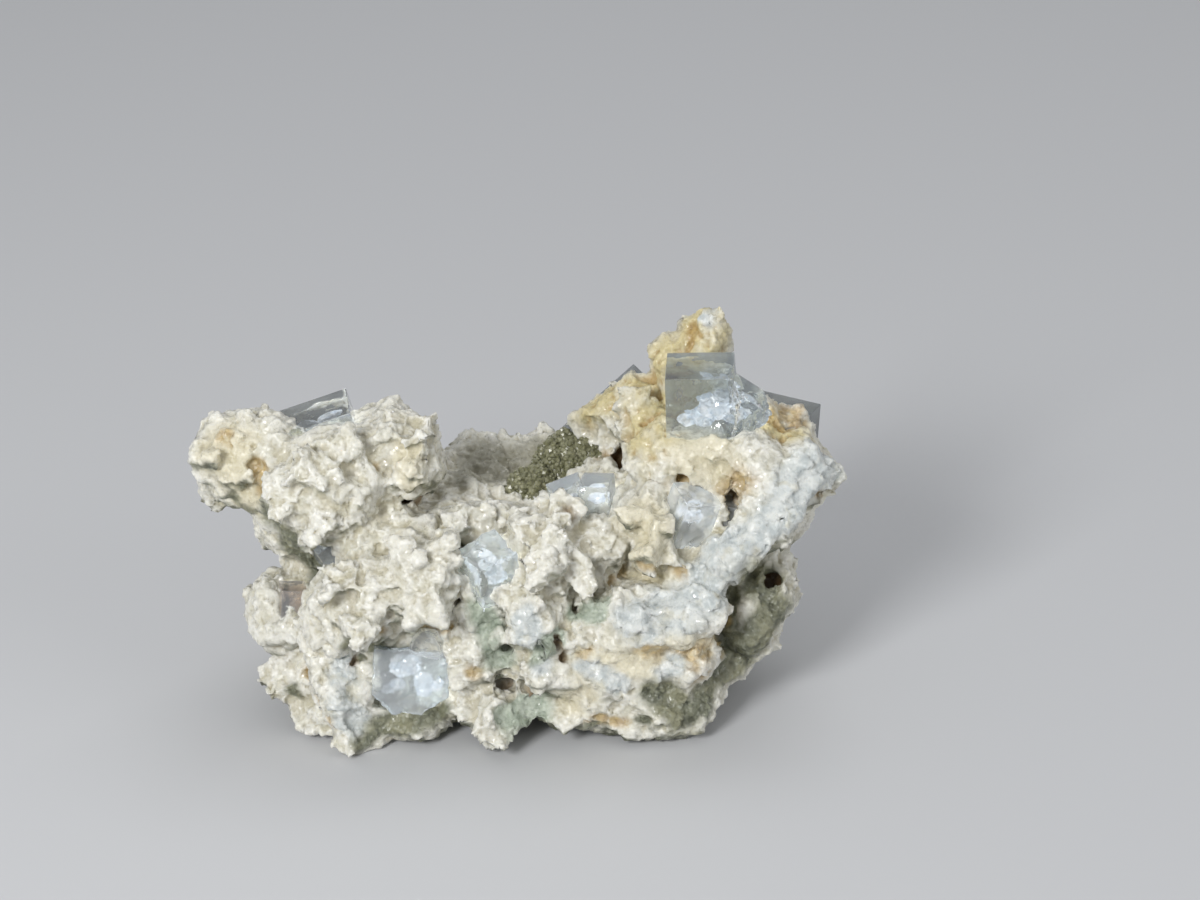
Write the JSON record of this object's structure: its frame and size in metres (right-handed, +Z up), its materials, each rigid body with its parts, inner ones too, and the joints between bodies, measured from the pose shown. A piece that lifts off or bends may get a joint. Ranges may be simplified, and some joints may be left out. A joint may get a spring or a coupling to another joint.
{
  "type": "fluorite and dolomite mineral specimen",
  "caption": "Mineral specimen: clear fluorite cubes on a lumpy cream dolomite crust over grey-green rock, with an olive druse, resting free on its own feet.",
  "frame": {"origin": "on the ground below the middle of the specimen's box", "axes": "+Z up, +X to the right and along the specimen's length, +Y towards its back"},
  "size_m": [0.117, 0.0652, 0.0714],
  "materials": {
    "dolomite": "pearly crystal crust, cream white, stained ochre in its hollows",
    "druse": "sugary olive-green crystals, glossy",
    "fluorite": "clear crystal, faintly blue-grey, smooth faces"
  },
  "bodies": {
    "root": {"dolomite_mass": "dolomite", "olive_druse": "druse", "fluorite_tower_cube": "fluorite", "fluorite_right_shoulder_cube": "fluorite", "fluorite_back_cube": "fluorite", "fluorite_crown_cube": "fluorite", "fluorite_sunken_cube": "fluorite", "fluorite_middle_crystal": "fluorite", "fluorite_ledge_pair": "fluorite", "fluorite_hollow_crystal": "fluorite", "fluorite_hollow_small": "fluorite", "fluorite_knob_crystal": "fluorite", "fluorite_recess_crystal": "fluorite", "fluorite_shelf_crystal": "fluorite"}
  },
  "joints": []
}
